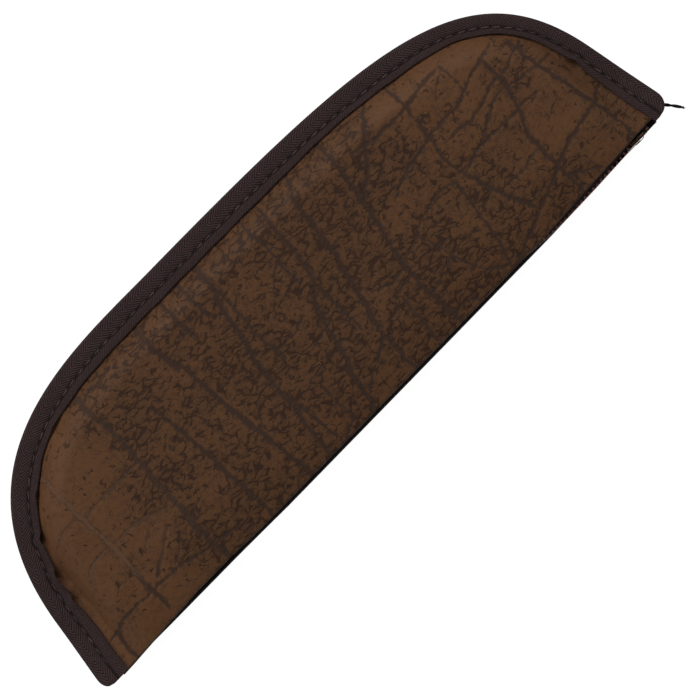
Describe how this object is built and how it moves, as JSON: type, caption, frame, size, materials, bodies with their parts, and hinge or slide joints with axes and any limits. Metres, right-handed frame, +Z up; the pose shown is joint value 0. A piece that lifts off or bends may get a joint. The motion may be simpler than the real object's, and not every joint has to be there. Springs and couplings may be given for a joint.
{
  "type": "zipped knife case",
  "caption": "Flat padded half-moon case for kitchen knives: hide-grained panels bound with herringbone tape round the curved edge and closed by a zip along the straight mouth.",
  "frame": {"origin": "on the resting face under the middle of the case, midway along its length and half-way across its width", "axes": "+X along the zipped mouth towards the closed slider, +Y from the mouth towards the curved bound edge, +Z up out of the front panel"},
  "size_m": [0.3366, 0.1111, 0.0213],
  "materials": {
    "hide_grain_vinyl": "embossed elephant-hide grain, satin",
    "foam": "open-cell foam",
    "fleece": "brushed pile",
    "thread": "twisted bonded thread, slight sheen",
    "binding_tape": "herringbone weave",
    "black_thread": "twisted thread with a frayed tip",
    "zip_tape": "close woven",
    "zip_teeth": "moulded, satin",
    "bronzed_metal": "antique bronze, worn bright on the edges"
  },
  "bodies": {
    "case": {"front_skin": "hide_grain_vinyl", "front_padding": "foam", "front_lining": "fleece", "front_binding_thread": "thread", "front_zip_tape": "zip_tape", "front_top_stop": "bronzed_metal", "back_skin": "hide_grain_vinyl", "back_padding": "foam", "back_lining": "fleece", "back_binding_thread": "thread", "back_zip_tape": "zip_tape", "back_top_stop": "bronzed_metal", "edge_binding": "binding_tape", "thread_tail": "black_thread", "bottom_stop": "bronzed_metal"},
    "front_zip": {"front_zip_flap": "zip_tape", "front_zip_teeth": "zip_teeth"},
    "back_zip": {"back_zip_flap": "zip_tape", "back_zip_teeth": "zip_teeth"},
    "slider": {"slider_body": "bronzed_metal", "slider_crown": "bronzed_metal"},
    "pull": {"pull_tab": "bronzed_metal"}
  },
  "joints": [
    {"name": "slider_travel", "type": "slide", "parent": "case", "child": "slider", "axis": [-1, 0, 0], "range_m": [0, 0.2926], "deforming": ["front_zip_teeth", "back_zip_teeth"]},
    {"name": "pull_swing", "type": "hinge", "parent": "slider", "child": "pull", "pos_m": [0.14754, -0.0518, 0.01], "axis": [0, 0, 1], "range_deg": [0, 170]},
    {"name": "front_zip_fold", "type": "hinge", "parent": "case", "child": "front_zip", "pos_m": [0, -0.0491, 0.01448], "axis": [1, 0, 0], "range_deg": [0, 85]},
    {"name": "back_zip_fold", "type": "hinge", "parent": "case", "child": "back_zip", "pos_m": [0, -0.0491, 0.0057], "axis": [-1, 0, 0], "range_deg": [0, 85]}
  ]
}
